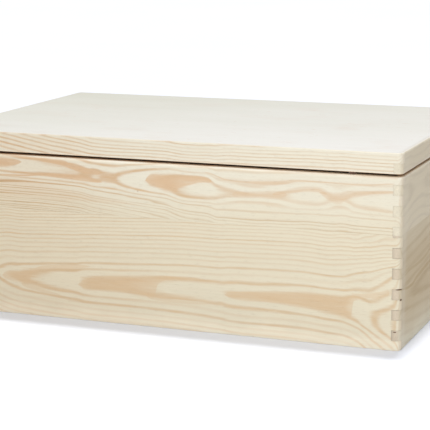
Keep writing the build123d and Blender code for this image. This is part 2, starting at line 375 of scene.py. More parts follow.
def make_ring_group():
    """Growth rings, fibres and resin canals, solid through the board."""
    tree, given, result = new_group("pine_rings", RING_INPUTS, RING_OUTPUTS)
    along, across, depth, seed = (given[label] for label in ("Along", "Across", "Depth", "Seed"))

    def wood_noise(size, detail=2.0):
        length, width = size
        return noise(tree, vector(along / length + seed, across / width, depth / width), detail)

    # Rings away from the middle line of the figure
    height = across - given["Line"]
    offset = height.size()
    above = height.rise(SIDE_NEAR, SIDE_FAR)
    below = height.fall(-SIDE_FAR, -SIDE_NEAR)
    island = toward(given["Island"], PLAIN_ISLAND, offset.rise(*ISLAND_REACH))
    inside = (offset / island).least(1.0)
    out = offset - island
    out = (out + (out * out + ISLAND_EDGE ** 2).root()) * 0.5
    out = out * toward(given["Above"], given["Below"], height.fall(-SIDE_NEAR, SIDE_NEAR))
    crowded = out / toward(given["Crowd"], given["Crowd Above"], above)
    away = inside * inside * ISLAND_RISE + out / given["Spacing"] + crowded * crowded
    bold = above * given["Bold Above"] + below * given["Bold Below"]
    far = away.rise(*LINE_FADE, "LINEAR") * (1.0 - bold)

    # Rings in all, and which part of its ring a place lies in
    on_lid = across.rise(RIM, LID_BOTTOM)
    ridge = toward(given["Ridge"], given["Trend"], offset.rise(*TREND_REACH))
    ridge = toward(ridge, given["Lid"], on_lid)
    ridge = ridge + given["Lid Crowd"] * across.rise(LID_BOTTOM, TOP, "LINEAR")
    ridge = ridge + given["Drift"] * across.rise(*DRIFT_REACH)
    side = height.rise(-STRAY_SWAP, STRAY_SWAP) * STRAY_SIDES
    stray = noise(tree, vector(away * STRAY_RATE + side, seed, 0.0), detail=0.0) * STRAY * far
    wander = wood_noise(WANDER, detail=3.0) * WANDER_RINGS
    shiver = wood_noise(SHIVER) * SHIVER_RINGS
    rings = ridge + away + stray - depth / RING_THROUGH + wander + shiver
    phase = rings.math("FRACT")
    turning, tan = (toward(near, line, far) for near, line in zip(ISLAND_LATE, LINE_LATE))
    ending = 1.0 - toward(*LATE_END, far)
    late = phase.rise(turning, tan) * phase.fall(ending, 1.0)

    # How strongly its tan shows
    luck = chance(rings.math("FLOOR") + seed)
    patchy = wood_noise(PATCHES)
    faint = (luck * FAINT_CHANCE + patchy * FAINT_PATCHY + FAINT_LINE).most(FAINTEST_LINE)
    faint = faint * given["Lines"] * (on_lid * given["Lid Crowd"] * LID_BOLD + 1.0)
    strong = (luck - 0.5) * BOLD_CHANCE + patchy * BOLD_PATCHY + BOLD_LINE
    strong = given["Patch"] * toward(1.0, strong, away.rise(*BOLD_START))
    fibre = wood_noise(COARSE_FIBRE) * COARSE_SHARE + wood_noise(FINE_FIBRE) * FINE_SHARE
    mottle = wood_noise(MOTTLE, detail=3.0)
    late = late * toward(strong, faint, far) * (fibre * LATE_FIBRE + mottle * LATE_MOTTLE + 1.0)
    plug(late, result["Late"])
    plug(far, result["Far"])
    plug(fibre, result["Fibre"])
    plug(wood_noise(CANAL, detail=0.0).rise(*CANAL_SHOWN), result["Canals"])
    plug(wood_noise(TONE), result["Tone"])
    plug(mottle, result["Mottle"])
    plug(wood_noise(STREAK, detail=3.0), result["Streak"])
    return tree


JOINT_LINE = (0.1, 0.35)  # mm from the middle of the line round a finger over which it fades
JOINT_EDGE = 0.4  # mm before the root of a finger over which the joint comes in
JOINT_FILL = (6.0, 6.0, 9.0)  # sizes of the places where the line is filled, mm
JOINT_FILL_SHOWN = (-0.35, 0.5)
ODD_FINGER = (0.49, 0.51)  # share of a pair of fingers where the second one begins
SOAK_REACH = 4.0  # how far glue has soaked into the end grain from the root of a finger, mm


def make_joint_group():
    """Dark lines where the fingers of the corner joints meet, and glue soaked into the end grain there."""
    tree, given, result = new_group("finger_joint_lines", ["X", "Y", "Z"], ["Line", "Soak"])
    place = [given[label] for label in ("X", "Y", "Z")]
    count = place[2] / FINGER
    odd = (count / 2.0).math("FRACT").rise(*ODD_FINGER, "LINEAR")
    line = (((count + 0.5).math("FRACT") - 0.5).size() * FINGER).fall(*JOINT_LINE)
    soak = 0.0
    corner = 1.0
    for part, half, own in ((place[0], HALF_LENGTH, odd), (place[1], HALF_DEPTH, 1.0 - odd)):
        past_root = part.size() - (half - WALL)
        line = line.most(past_root.size().fall(*JOINT_LINE) * own)
        soak = past_root.fall(0.0, SOAK_REACH) * own + soak
        corner = past_root.rise(-JOINT_EDGE, 0.0, "LINEAR") * corner
    filled = speckle(place, JOINT_FILL).rise(*JOINT_FILL_SHOWN)
    plug(line * corner * filled, result["Line"])
    plug(soak * corner, result["Soak"])
    return tree


WEAR_REACH = (0.4, 3.2)  # mm from an outer edge over which the rubbing ends
WEAR_SPOTS = (14.0, 14.0, 14.0)
WEAR_SHOWN = (-0.6, 0.5)


def make_wear_group():
    """How much the outer edges of the box and the lid are worn pale."""
    tree, given, result = new_group("rubbed_edges", ["X", "Y", "Z"], ["Wear"])
    place = x, y, z = [given[label] for label in ("X", "Y", "Z")]
    from_end = HALF_LENGTH - x.size()
    from_face = HALF_DEPTH - y.size()
    level = z.size()
    for edge in (RIM, LID_BOTTOM, TOP):
        level = level.least((z - edge).size())
    # The middle one of the three distances is small only near an edge, where two faces meet
    nearest = from_end.least(from_face)
    middle = nearest.most(from_end.most(from_face).least(level))
    patchy = speckle(place, WEAR_SPOTS, detail=3.0)
    plug(middle.fall(*WEAR_REACH) * patchy.rise(*WEAR_SHOWN), result["Wear"])
    return tree


RINGS = make_ring_group()
JOINTS = make_joint_group()
WEAR = make_wear_group()


@dataclass
class Figure:
    """How the rings show on the outer face of a board, in millimetres along its fibres.

    ridge counts the rings along the middle line of the figure and line is the height of that line.
    trend counts them for the lines further off and lid for those on the lid, where lid_crowd adds
    rings towards the top. drift counts rings that are added in the upper part of the board.
    island is half the height of a patch of one ring, spacing is the distance between lines beside it,
    crowd says how fast they close up further off, and crowd_above is the crowd of the lines above.
    above and below say how close together the lines of that side are.
    patch and lines say how strongly islands and lines show, and bold_above and bold_below how much
    the lines of that side keep of an island's strength.
    foot and head are the colours at the bottom and the top, change draws the way from one to the
    other over the height, warm says how much of a warmer, darker tint lies over them and the entry
    after it how much a painted highlight pales them. On the lower boards of the front and the right
    side the foot holds painted bounce light from the floor. end_grain is the colour of the fibres'
    ends and end_tint its strength.
    bands are single tan bands: strength, middle line and half height. nicks are splintered spots:
    middle and half sizes along X, Y and Z. pin_knot has its place along and across and its radius.
    """
    ridge: list
    line: list
    island: list
    spacing: list
    crowd: list | float
    seed: float
    foot: tuple = WARM_SAP
    head: tuple = PALE_SAP
    change: tuple = ((0, 0), (95, 0), (175, 1), (230, 1))
    end_grain: tuple = END_GRAIN
    end_tint: float = 0.3
    trend: list | None = None
    lid: list | None = None
    crowd_above: list | float | None = None
    lid_crowd: list | float = 0.0
    drift: list | float = 0.0
    patch: list | float = 0.9
    lines: list | float = 0.6
    bold_above: list | float = 0.0
    bold_below: list | float = 0.0
    above: list | float = 1.0
    below: list | float = 1.0
    warm: list | float = 0.0
    wear_and_highlight: list | float = 0.0
    bands: list | tuple = ()
    nicks: list | tuple = ()
    pin_knot: tuple | None = None


# Splintered spots beside the fingers of the near corner
NICKS = [
    ((297.0, -196.5, 72.6), (4.6, 6.0, 1.0)),
    ((299.5, -195.5, 60.2), (1.6, 2.4, 1.5)),
    ((294.0, -200.0, 22.4), (2.4, 1.2, 0.8)),
]

# Tan bands of the front's upper board
FRONT_BANDS = [
    (
        0.8,
        [(-300, 192), (-212, 192.5), (-184, 194)],
        [(-300, 8.5), (-240, 8), (-212, 7.5), (-198, 6), (-188, 3.5), (-182, 0)],
    ),
    (
        0.8,
        [(-160, 199), (-143, 197.5), (-124, 195.5), (-116, 192.5), (-98, 188.5), (-84, 187)],
        [(-160, 0), (-150, 3), (-143, 3), (-124, 4), (-116, 4), (-98, 4), (-84, 3.5), (-74, 0)],
    ),
    (
        0.8,
        [(-300, 172), (-213, 176.5), (-178, 177.5), (-150, 180), (-127, 179.5), (-102, 178.5), (-84, 176.5)],
        [(-300, 1), (-178, 1.5), (-150, 2.5), (-127, 3.5), (-102, 4), (-84, 3), (-72, 0)],
    ),
    (
        0.8,
        [(-16, 180), (-12, 182), (-7, 182), (5, 180.5), (13, 179.5), (22, 179.5), (27, 181), (34, 182.5),
         (45, 184.5), (57, 186), (69, 185)],
        [(-16, 0), (-12, 5), (-7, 8.5), (5, 11), (13, 12), (22, 12), (27, 10), (34, 8.5), (45, 6), (57, 4),
         (66, 3), (70, 0)],
    ),
    (
        0.5,
        [(60, 195.5), (68, 194), (80, 190), (91, 187.5), (115, 186.5), (142, 187), (161, 189), (183, 192),
         (213, 192), (242, 191.5), (286, 194.5)],
        [(60, 0), (68, 1), (91, 1), (115, 1.5), (142, 2.5), (161, 2.5), (176, 1.5), (213, 1), (280, 1),
         (292, 0)],
    ),
    (
        0.32,
        [(95, 171), (103, 171), (128, 173), (145, 173.5), (161, 174.5)],
        [(95, 0), (103, 4.5), (128, 4.5), (145, 5.5), (155, 5), (164, 0)],
    ),
    (
        0.45,
        [(150, 175), (161, 177.5), (173, 179), (187, 181.5), (198, 182), (208, 179.5)],
        [(145, 0), (153, 2.5), (161, 2), (173, 2), (187, 2), (198, 2.5), (208, 2), (212, 0)],
    ),
    (
        0.4,
        [(205, 179), (215, 176), (224, 174.5), (232, 177), (240, 180), (249, 181), (266, 183.5), (292, 186)],
        [(202, 0), (207, 3), (212, 5), (220, 7), (226, 8), (234, 6.5), (242, 4.5), (249, 4), (266, 2.5),
         (282, 2), (293, 0)],
    ),
    (
        0.2,
        [(-300, 160), (-200, 161), (-120, 156), (-20, 150)],
        [(-300, 18), (-200, 15), (-120, 8), (-60, 3), (-20, 0)],
    ),
]
FRONT_UPPER = Figure(
    ridge=[(-300, 0.3), (-220, 0.75), (-200, 0.88), (-190, 1.0), (-180, 1.1), (-140, 1.34), (-108, 1.42),
           (-92, 1.58), (-82, 1.44), (-72, 1.58), (-60, 1.6), (-52, 1.45), (-40, 1.2), (-23, 1.05),
           (-17, 0.95), (-8, 0.8), (10, 0.66), (22, 0.5), (34, 0.34), (60, 0.26), (80, 0.4), (96, 0.55),
           (120, 0.7), (142, 0.74), (156, 0.66), (166, 0.45), (178, 0.32), (197, 0.28), (208, 0.36),
           (216, 0.6), (226, 0.74), (234, 0.66), (242, 0.46), (256, 0.32), (272, 0.28), (300, 0.1)],
    line=[(-300, 197), (-220, 192), (-180, 190), (-108, 187), (-82, 183), (-24, 180.5), (5, 180.5),
          (22, 178.5), (38, 176.5), (60, 176), (70, 174), (80, 172), (96, 172), (120, 171.5),
          (142, 172.5), (173, 173.5), (193, 174.5), (217, 174), (231, 175), (243, 174), (300, 173.5)],
    island=[(-300, 6), (-220, 7), (-190, 8), (-140, 9.5), (-60, 8), (-24, 10.5), (-12, 11), (5, 11.5),
            (22, 13), (38, 14.5), (58, 14), (68, 11), (78, 7.5), (96, 5.5), (120, 4.5), (142, 6),
            (173, 7.5), (193, 9.5), (205, 8.5), (217, 6.5), (231, 6), (243, 8.5), (267, 10.5), (300, 12.5)],
    spacing=[(-300, 5.6), (-100, 6), (60, 7), (300, 7.3)],
    crowd=[(-300, 25), (-100, 21), (0, 24), (80, 33), (300, 33)],
    seed=3.0,
    change=((0, 0), (128, 0), (190, 1), (230, 1)),
    patch=[(-300, 0.93), (-20, 0.9), (40, 0.86), (80, 0.58), (150, 0.5), (175, 0.36), (205, 0.36),
           (225, 0.45), (280, 0.45), (300, 0.25)],
    lines=[(-300, 1.1), (-160, 1.0), (-60, 0.62), (120, 0.56), (180, 0.64), (285, 0.62), (300, 0.3)],
    trend=[(-300, 0.3), (-220, 0.75), (-180, 1.1), (-140, 1.34), (-60, 1.42), (-40, 1.2), (-23, 1.05),
           (10, 0.6), (34, 0.4), (60, 0.4), (96, 0.52), (300, 0.5)],
    lid=[(-300, -1.2), (-213, 0.4), (-160, 1.7), (-115, 2.6), (-95, 2.75), (-55, 2.5), (-20, 2.3),
         (20, 2.4), (300, 2.35)],
    crowd_above=36.0,
    lid_crowd=[(-300, 0.3), (-140, 0.7), (-60, 1.6), (40, 2.5), (300, 2.8)],
    bold_above=[(-300, 0.88), (-120, 0.8), (-40, 0.66), (40, 0.55), (300, 0.5)],
    above=[(-300, 0.8), (40, 0.85), (100, 0.68), (300, 0.68)],
    warm=[(-300, 0.9), (-150, 0.75), (0, 0.1), (300, 0.1)],
    bands=FRONT_BANDS,
    pin_knot=(-26.0, 167.0, 1.6),
)
FRONT_LOWER = Figure(
    ridge=[(-300, 12.5), (-252, 10), (-224, 8.6), (-211, 8.0), (-200, 7.75), (-180, 7.6), (-140, 7.2),
           (-114, 7.02), (-110, 6.97), (-100, 6.76), (-60, 6.6), (-24, 6.5), (-4, 6.38), (32, 6.2),
           (72, 6.05), (80, 6.0), (90, 5.82), (100, 5.75), (160, 5.68), (216, 5.64), (232, 5.6),
           (238, 5.46), (244, 5.3), (256, 5.08), (262, 4.95), (267, 4.75), (273, 4.5), (279, 4.25),
           (285, 4.03), (291, 3.78), (300, 3.3)],
    line=[(-300, 53), (-211, 51), (-180, 48.5), (-114, 48.5), (-60, 49.5), (32, 51.5), (100, 50),
          (169, 51), (216, 48.5), (234, 47.5), (244, 46.5), (256, 42), (267, 36.5), (280, 33), (300, 28)],
    island=[(-300, 6), (-200, 7), (-180, 10), (-114, 11.5), (-60, 11.5), (-4, 12.5), (32, 11), (72, 10),
            (100, 7.5), (148, 8.5), (169, 10), (192, 12), (215, 14), (234, 15.5), (250, 15.5), (267, 13),
            (290, 10.5), (300, 10)],
    spacing=[(-300, 7), (-140, 8), (300, 8.5)],
    crowd=[(-300, 20), (-60, 21), (300, 23)],
    seed=11.0,
    # The foot is painted bounce light from the floor, paler towards the bottom edge
    foot=FRONT_FOOT_BOUNCE,
    head=WARM_SAP,
    change=((0, 0), (6, 0.06), (14, 0.5), (24, 0.82), (42, 0.97), (60, 1), (230, 1)),
    drift=[(-300, 0), (220, 0.01), (245, 1.9), (260, 3.2), (275, 4.1), (290, 5.6), (300, 6.7)],
    patch=[(-300, 0.84), (280, 0.8), (300, 0.5)],
    lines=[(-300, 0.7), (-100, 0.62), (150, 0.57), (220, 0.66), (300, 0.7)],
    bold_above=[(-300, 0.74), (0, 0.72), (300, 0.76)],
    bold_below=0.95,
    above=[(-300, 0.72), (205, 0.72), (228, 0.69), (245, 0.62), (260, 0.5), (275, 0.43), (290, 0.36),
           (300, 0.32)],
    below=[(-300, 0.66), (-100, 0.68), (240, 0.7), (300, 0.6)],
    warm=[(-300, 0.75), (-150, 0.6), (-60, 0.4), (60, 0.2), (300, 0.1)],
    nicks=NICKS,
    bands=[
        (
            0.5,
            [(-215, 48), (-206, 48.5), (-179, 49), (-174, 55), (-165, 60), (-149, 63.5), (-127, 65.5),
             (-105, 68), (-89, 69.5)],
            [(-215, 0), (-206, 7), (-191, 9.5), (-179, 12), (-174, 6.5), (-165, 3), (-149, 3.5), (-127, 3.5),
             (-105, 2.5), (-89, 0)],
        ),
        (
            0.4,
            [(-188, 39.5), (-180, 37.5), (-166, 34.5), (-148, 30.5), (-128, 26.5), (-106, 23.5), (-83, 24)],
            [(-188, 0), (-180, 3.5), (-148, 3), (-106, 2), (-83, 0)],
        ),
        (
            0.5,
            [(-109, 45), (-98, 46), (-78, 49), (-59, 50.5), (-40, 51), (-9, 50), (-4, 54.5), (2, 61),
             (17, 63.5), (36, 65), (55, 66.5)],
            [(-109, 0), (-104, 4.5), (-98, 8.5), (-78, 11), (-40, 13), (-20, 15), (-9, 16.5), (-4, 11),
             (2, 5), (17, 3), (36, 2), (55, 0)],
        ),
        (
            0.4,
            [(-17, 39), (-7, 37), (4, 36), (17, 35), (36, 35), (69, 35.5)],
            [(-17, 0), (-7, 3.5), (4, 3.5), (17, 2.5), (54, 1.5), (69, 0)],
        ),
        (
            0.5,
            [(85, 49), (118, 49.5), (139, 51), (156, 51.5), (195, 50), (212, 50.5), (234, 47.5), (240, 47.5),
             (244, 58.5), (249, 60.5), (261, 62.5), (272, 64), (285, 68)],
            [(85, 0), (94, 5), (118, 7.5), (139, 8), (156, 9), (195, 12), (212, 12), (223, 13.5),
             (234, 16.5), (240, 17), (244, 7), (249, 4.5), (261, 3.5), (272, 4.5), (285, 4.5), (287, 0)],
        ),
    ],
)
RIGHT_UPPER = Figure(
    ridge=[(-200, 0.2), (-165, 0.5), (-120, 0.9), (-60, 0.45), (30, 0.8), (110, 0.3), (200, 0.7)],
    line=[(-200, 178), (-120, 181), (0, 176), (200, 183)],
    island=[(-200, 12), (-60, 9), (70, 14), (200, 10)],
    spacing=[(-200, 12), (200, 13)],
    crowd=[(-200, 60), (200, 50)],
    seed=21.0,
    foot=DULL_SAP,
    head=DULL_SAP,
    end_grain=paint(212, 202, 178),
    end_tint=1.0,
    patch=0.8,
    lines=0.65,
    # Painted highlight near the front corner
    wear_and_highlight=[(-200, 0.06), (-180, 0.08), (-162, 0.0), (200, 0.0)],
)
RIGHT_LOWER = Figure(
    ridge=[(-200, 3.1), (-150, 2.75), (-90, 2.4), (-20, 2.05), (60, 1.8), (200, 1.45)],
    line=[(-200, 60), (-100, 58), (0, 62), (200, 70)],
    island=[(-200, 8), (-60, 11), (60, 13), (200, 9)],
    spacing=[(-200, 15), (200, 17)],
    crowd=80.0,
    seed=31.0,
    # The foot is pale sapwood and painted bounce light from the floor
    foot=SAP_AND_BOUNCE_FOOT,
    head=HEART,
    change=((0, 0), (6, 0.15), (22, 0.63), (45, 0.93), (60, 1), (95, 1), (125, 0.8), (136, 0.76),
            (230, 0.76)),
    # Painted highlight near the front corner
    wear_and_highlight=[(-200, 0.22), (-182, 0.16), (-162, 0.0), (200, 0.0)],
    end_grain=HEART_END,
    nicks=NICKS,
    end_tint=0.9,
    patch=0.5,
    lines=0.42,
    bold_above=0.8,
    bold_below=0.8,
    bands=[
        (
            0.6,
            [(-207, 73.5), (-184, 70.5), (-152, 67.5), (-129, 71), (-91, 75), (-62, 77.5), (0, 84), (60, 88)],
            [(-207, 1), (-184, 1.5), (-152, 2.5), (-100, 3), (-40, 2.5), (60, 0)],
        ),
        (
            0.4,
            [(-195, 84), (-150, 87.5), (-121, 87), (-92, 88), (-63, 93), (-40, 97)],
            [(-195, 0), (-150, 2), (-92, 2.5), (-40, 0)],
        ),
    ],
)
LEFT_UPPER = Figure(
    ridge=[(-200, 1.3), (-140, 1.8), (-100, 1.45), (-20, 0.9), (60, 0.55), (130, 0.85), (200, 1.5)],
    line=[(-200, 172), (-60, 168), (80, 176), (200, 171)],
    island=[(-200, 8), (-60, 13), (80, 9), (200, 12)],
    spacing=[(-200, 6.5), (200, 7.5)],
    crowd=[(-200, 30), (200, 26)],
    seed=41.0,
)
LEFT_LOWER = Figure(
    ridge=[(-200, 2.2), (-150, 3.0), (-110, 3.6), (-40, 4.1), (40, 4.7), (95, 5.1), (150, 5.8), (200, 7.0)],
    line=[(-200, 88), (-60, 82), (80, 90), (200, 84)],
    island=[(-200, 13), (-60, 9), (80, 12), (200, 6)],
    spacing=[(-200, 7.5), (200, 6.5)],
    crowd=[(-200, 33), (200, 27)],
    seed=53.0,
)
BACK_UPPER = Figure(
    ridge=[(-300, 2.6), (-230, 1.9), (-160, 1.55), (-90, 1.8), (-20, 1.3), (50, 0.9), (120, 0.6),
           (200, 1.1), (300, 1.7)],
    line=[(-300, 160), (-150, 166), (30, 162), (180, 170), (300, 165)],
    island=[(-300, 7), (-150, 12), (30, 9), (180, 14), (300, 8)],
    spacing=[(-300, 6.5), (300, 7.5)],
    crowd=[(-300, 27), (300, 32)],
    seed=61.0,
)
BACK_LOWER = Figure(
    ridge=[(-300, 1.1), (-240, 2.0), (-180, 2.55), (-110, 2.9), (-30, 3.5), (60, 3.8), (130, 4.6),
           (210, 5.05), (300, 6.6)],
    line=[(-300, 66), (-120, 72), (60, 64), (220, 70), (300, 74)],
    island=[(-300, 12), (-120, 9), (60, 14), (220, 8), (300, 6)],
    spacing=[(-300, 8), (300, 7)],
    crowd=[(-300, 33), (300, 28)],
    seed=71.0,
)


BEVEL_SAMPLES = 4
WOOD_SPECULAR = 0.3


def new_material(name):
    """A material with its Principled shader and output."""
    material = bpy.data.materials.new(name)
    material.use_nodes = True
    tree = material.node_tree
    return material, tree, tree.nodes["Principled BSDF"]


def surface_place(tree):
    """Place on the surface in millimetres, as three fields."""
    coordinates = tree.nodes.new("ShaderNodeTexCoord")
    return [part * MM for part in parts_of(tree, coordinates.outputs["Object"])]


def surface_facing(tree):
    """Direction of the surface, as three fields."""
    coordinates = tree.nodes.new("ShaderNodeTexCoord")
    return parts_of(tree, coordinates.outputs["Normal"])


def coat(shader, colour, roughness, relief, depth, soft_edge):
    """Gives a shader its colour, its roughness and a relief.

    The relief goes from 0 to 1 and is as deep as depth, in metres, on edges softened by soft_edge.
    """
    tree = relief.tree
    plug(colour, shader.inputs["Base Color"])
    plug(roughness, shader.inputs["Roughness"])
    bevel = tree.nodes.new("ShaderNodeBevel")
    bevel.samples = BEVEL_SAMPLES
    bevel.inputs["Radius"].default_value = soft_edge
    bump = tree.nodes.new("ShaderNodeBump")
    bump.inputs["Distance"].default_value = depth
    plug(relief, bump.inputs["Height"])
    plug(bevel.outputs[0], bump.inputs["Normal"])
    plug(bump.outputs[0], shader.inputs["Normal"])


# Colour over the rings of a board
STREAK_SHOWN = (-0.1, 0.9)
STREAK_SHARE = 0.22
CHANGE_WAVES = (60.0, 30.0)  # length and depth of the waves between foot and head, mm
CHANGE_HEIGHT = 8.0  # and their height
BAND_LEAST = 0.01  # half height of a band that has ended, mm
BAND_FADE = (0.55, 1.05)  # shares of its half height over which a band fades
BAND_DEPTH = (1.0, 3.0)  # mm under the outer face over which it ends
BAND_MOTTLE = 0.4
CANAL_SHARE = 0.16


def grain_of(tree, figure, along, across, depth):
    """The rings of a figure on its board."""
    curves = {
        "Ridge": figure.ridge,
        "Trend": figure.trend or figure.ridge,
        "Lid": figure.lid or figure.trend or figure.ridge,
        "Line": figure.line,
        "Island": figure.island,
        "Spacing": figure.spacing,
        "Crowd": figure.crowd,
        "Crowd Above": figure.crowd_above or figure.crowd,
        "Lid Crowd": figure.lid_crowd,
        "Drift": figure.drift,
        "Patch": figure.patch,
        "Lines": figure.lines,
        "Bold Above": figure.bold_above,
        "Bold Below": figure.bold_below,
        "Above": figure.above,
        "Below": figure.below,
    }
    fields = {label: drawn(along, points) for label, points in curves.items()}
    return use_group(tree, RINGS, Along=along, Across=across, Depth=depth, Seed=figure.seed, **fields)


def ringed(grain, pale, patch, line):
    """The colour of a ring from how far it has turned tan, between a patch's and a line's hue."""
    hue = weighted(grain, base=0.2, Far=0.6, Tone=0.5)
    ground = blend(grain["Streak"].rise(*STREAK_SHOWN) * STREAK_SHARE, pale, patch)
    return blend(grain["Late"], ground, blend(hue, patch, line))


def board_colour(tree, figure, grain, along, across, depth):
    """The rings from foot to head, with single bands, a warmer, darker tint and resin canals over them."""
    wave_length, wave_depth = CHANGE_WAVES
    waves = noise(tree, vector(along / wave_length, depth / wave_depth, 0.0))
    change = drawn(across + waves * CHANGE_HEIGHT, list(figure.change))
    colour = blend(change, ringed(grain, *figure.foot), ringed(grain, *figure.head))
    ragged = weighted(grain, base=0.0, Fibre=0.2, Mottle=0.3)
    for strength, line, half in figure.bands:
        reach = drawn(along, half).most(BAND_LEAST)
        band = ((across - drawn(along, line)) / reach).size() + ragged
        band = band.fall(*BAND_FADE) * depth.fall(*BAND_DEPTH)
        colour = blend(band * (grain["Mottle"] * BAND_MOTTLE + 1.0) * strength, colour, figure.head[1])
    colour = blend(drawn(along, figure.warm), colour, WARM_TINT, "MULTIPLY")
    return blend(grain["Canals"] * CANAL_SHARE, colour, KNOT)


# Ends of the fibres, in the fingers
END_TURN = (0.55, 0.95)  # how far a face is turned to the fibres' ends
END_LATE = 0.6  # share of the rings' tan that is lost there
END_UNEVEN = 0.6  # by how much the tint differs between fingers
END_LEAST = 0.7
PORES = (1.1, 1.1, 2.4)
PORE_SHADE = 0.22
PORE_LEVEL = 0.98


def ends_colour(figure, place):
    """The colour of the fibres' ends, and how strongly each finger shows it."""
    finger = (place[2] / FINGER).math("FLOOR")
    strength = (chance(finger + figure.seed) * END_UNEVEN + END_LEAST) * figure.end_tint
    pores = speckle(place, PORES, detail=3.0)
    return strength, brighten(figure.end_grain[:3], pores * PORE_SHADE + PORE_LEVEL)


# The saw cut between the box and the lid, with painted shade in the parting gap and a painted highlight under
# it
CUT_FACE = (0.3, 0.6)  # mm from the cut over which the painted shade on its faces ends
CUT_TURN = (0.8, 0.95)  # how far that face is turned up or down
CUT_SPOTS = (14.0, 14.0, 1.0)
CUT_SPOTS_SHOWN = (-0.5, 0.5)
CUT_SPOTS_SHARE = 0.4
CUT_SHARE = 0.3
CUT_ALONG = (-60.0, 260.0)  # places along X over which the painted shade fades to CUT_RIGHT, mm
CUT_RIGHT = 0.15
CUT_UP = (-0.5, 0.5)  # from a face that looks down, with CUT_DOWN of the painted shade, to one that looks up
CUT_DOWN = 0.4
FRINGE = (0.2, 1.1)  # mm from the cut over which the edges beside it get a painted warm shade
FRINGE_BOX = 0.1
FRINGE_LID = 0.5
RIM_PAINTED_HIGHLIGHT = (4.5, 1.5)  # mm under the rim over which the wood is painted brighter, a painted highlight
RIM_OVER = 0.5  # mm over the rim where that ends
# Strength of the painted highlight at the left and at the right
RIM_LEFT = 0.16
RIM_RIGHT = 0.08
RIM_ALONG = (100.0, 280.0)  # places along X over which the painted highlight goes from its left to its right strength, mm


def gap_shade_and_highlight(colour, place, upward):
    """A painted highlight under the rim, and painted shade in the parting gap: warm on the edges beside the
    saw cut and brown on its faces.
    """
    x, _, z = place
    # Painted highlight under the rim
    under = z.rise(*(RIM - below for below in RIM_PAINTED_HIGHLIGHT)) * z.fall(RIM, RIM + RIM_OVER)
    colour = brighten(colour, under * toward(RIM_LEFT, RIM_RIGHT, x.rise(*RIM_ALONG)) + 1.0)
    from_cut = (z - (RIM + LID_BOTTOM) / 2).size() - (LID_BOTTOM - RIM) / 2
    # Painted warm shade on the edges beside the cut, stronger on the lid's side
    edge_shade = from_cut.fall(*FRINGE) * toward(FRINGE_BOX, FRINGE_LID, z.rise(RIM, LID_BOTTOM))
    colour = blend(edge_shade, colour, GAP_EDGE_SHADE)
    # Painted shade on the cut faces, in spots, less towards the right
    gap_shade_amount = speckle(place, CUT_SPOTS, detail=4.0).rise(*CUT_SPOTS_SHOWN) * CUT_SPOTS_SHARE + CUT_SHARE
    face = from_cut.fall(*CUT_FACE) * upward.size().rise(*CUT_TURN)
    face = face * toward(1.0, CUT_RIGHT, x.rise(*CUT_ALONG)) * toward(CUT_DOWN, 1.0, upward.rise(*CUT_UP))
    return blend(face * gap_shade_amount, colour, GAP_SHADE_BROWN)


# What else lies over a board
GLUED = (120.0, 150.0)  # heights over which the glue in the joints stops showing, mm
GLUED_LEAST = 0.1
SOAK_SHARE = 0.22
JOINT_SHARE = 0.2
JOINT_HOLLOW = 0.6
FLUSH = (1.0, 0.5)  # mm under the top over which a rail takes the panel's paleness
FLUSH_TURN = (0.8, 0.98)
FLUSH_SHARE = 0.75
WEAR_SHARE = 0.4
NICK_EDGE = (0.4, 1.0)
NICK_SHARE = 0.9
KNOT_EDGE = 0.4  # share of its radius where the knot begins to fade
KNOT_SHARE = 0.3


def pine(name, figure, fibres):
    """Raw sanded pine. Its fibres run along X or Y."""
    material, tree, shader = new_material(name)
    place = x, y, z = surface_place(tree)
    facing = surface_facing(tree)
    along, depth, end = (x, HALF_DEPTH - y.size(), facing[0].size())
    if fibres == "Y":
        along, depth, end = (y, HALF_LENGTH - x.size(), facing[1].size())
    cut_across = end.rise(*END_TURN)
    glued = z.fall(*GLUED)
    fields = grain_of(tree, figure, along, z, depth)
    for group in (JOINTS, WEAR):
        fields.update(use_group(tree, group, X=x, Y=y, Z=z))
    fields["Late"] = fields["Late"] * (1.0 - cut_across * END_LATE)
    joint = fields["Line"] * toward(GLUED_LEAST, 1.0, glued)

    colour = board_colour(tree, figure, fields, along, z, depth)
    end_strength, end_colour = ends_colour(figure, place)
    colour = blend(cut_across * end_strength, colour, end_colour)
    colour = blend(cut_across * fields["Soak"] * glued * SOAK_SHARE, colour, GLUE_LINE)
    flush = z.rise(*(TOP - below for below in FLUSH)) * facing[2].rise(*FLUSH_TURN)
    colour = blend(flush * FLUSH_SHARE, colour, PLY_PALE)
    colour = brighten(colour, weighted(fields, base=1.0, Fibre=0.06, Tone=0.035))
    # Rubbed edges, and a painted highlight near the right side's front corner
    wear_and_highlight = (fields["Wear"] * WEAR_SHARE).most(drawn(along, figure.wear_and_highlight))
    colour = blend(wear_and_highlight, colour, WEAR_AND_HIGHLIGHT_PALE)
    # Painted highlight under the rim and painted shade in the parting gap
    colour = gap_shade_and_highlight(colour, place, facing[2])
    colour = blend(joint * JOINT_SHARE, colour, GLUE_LINE)
    fields["Hollow"] = joint * JOINT_HOLLOW
    for middle, half in figure.nicks:
        parts = [(part - centre) / reach for part, centre, reach in zip(place, middle, half)]
        torn = sum(part * part for part in parts).fall(*NICK_EDGE)
        colour = blend(torn * NICK_SHARE, colour, GLUE_LINE)
        fields["Hollow"] = fields["Hollow"].most(torn)
    if figure.pin_knot:
        knot_along, knot_across, radius = figure.pin_knot
        parts = (along - knot_along, z - knot_across)
        knot = sum(part * part for part in parts).root().fall(radius * KNOT_EDGE, radius)
        colour = blend(knot * KNOT_SHARE, colour, KNOT)
    roughness = weighted(fields, base=0.66, Fibre=0.05, Late=-0.08, Wear=-0.1)
    relief = weighted(fields, base=0.5, Late=0.35, Fibre=0.3, Canals=-0.3, Hollow=-1.0)
    coat(shader, colour, roughness, relief, depth=0.00025, soft_edge=0.0005)
    shader.inputs["Specular IOR Level"].default_value = WOOD_SPECULAR
    return material


